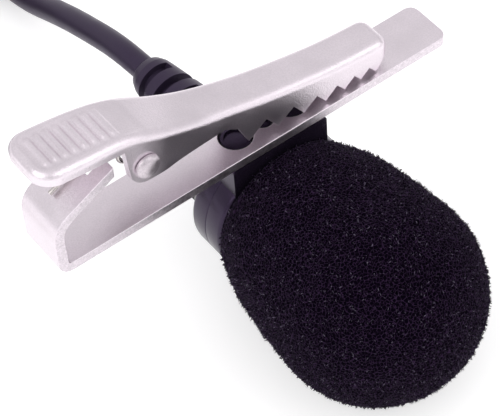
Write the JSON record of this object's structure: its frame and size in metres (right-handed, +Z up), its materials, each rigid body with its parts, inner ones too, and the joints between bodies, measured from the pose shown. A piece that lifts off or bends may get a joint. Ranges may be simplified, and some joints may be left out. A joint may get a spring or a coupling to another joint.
{
  "type": "lavalier microphone",
  "caption": "Lavalier microphone with a domed foam windscreen, held by its rear in the ring of a sprung metal clip, with a coiled cord and a jack plug.",
  "frame": {"origin": "on the surface that the foam rests on, below the middle of the clip's length and of the length from the foam's front to the end of the bend relief", "axes": "+Z up, -Y the way the microphone points, +X from the clip's heel to the tip of its strip"},
  "size_m": [0.0762, 0.1185, 0.0344],
  "materials": {
    "foam": "matte",
    "felt": "matte",
    "plated_steel": "satin",
    "bright_steel": "polished",
    "spring_steel": "satin",
    "black_plastic": "satin",
    "black_rubber": "matte",
    "black_metal": "satin",
    "aluminium": "satin",
    "circuit_board": "satin",
    "wire_insulation": "satin",
    "nickel_contact": "polished"
  },
  "bodies": {
    "microphone": {"body_tube": "black_metal", "front_grille": "black_metal", "felt_disc": "felt", "capsule_mount": "black_rubber", "electret_capsule": "aluminium", "capsule_board": "circuit_board", "signal_wire": "wire_insulation", "ground_wire": "wire_insulation", "rear_cap": "black_plastic", "bend_relief": "black_rubber", "crimp_sleeve": "aluminium", "cord_tail": "black_rubber", "cord_lead": "black_rubber", "cord_coil": "black_rubber", "plug_tail": "black_rubber", "plug_grip": "black_plastic", "plug_sleeve": "nickel_contact", "plug_band_rear": "black_plastic", "plug_ring": "nickel_contact", "plug_band_front": "black_plastic", "plug_tip": "nickel_contact"},
    "foam": {"windscreen": "foam"},
    "clip": {"lower_jaw": "plated_steel", "holder": "black_plastic", "pivot_rivet": "bright_steel", "spring_fixed_arm": "spring_steel"},
    "jaw": {"upper_jaw": "plated_steel", "spring_moving_arm": "spring_steel"}
  },
  "joints": [
    {"name": "clip_turn", "type": "hinge", "parent": "microphone", "child": "clip", "pos_m": [0.0023, 0.0007, 0.0108], "axis": [0, 1, 0], "continuous": true},
    {"name": "jaw_open", "type": "hinge", "parent": "clip", "child": "jaw", "pos_m": [-0.0129, 0.0035, 0.02865], "axis": [0, -1, 0], "range_deg": [0, 20], "stiffness_Nm_per_rad": 0.1, "springref_deg": -68.75},
    {"name": "windscreen_pull", "type": "slide", "parent": "microphone", "child": "foam", "axis": [0, -1, 0], "range_m": [0, 0.02]}
  ]
}
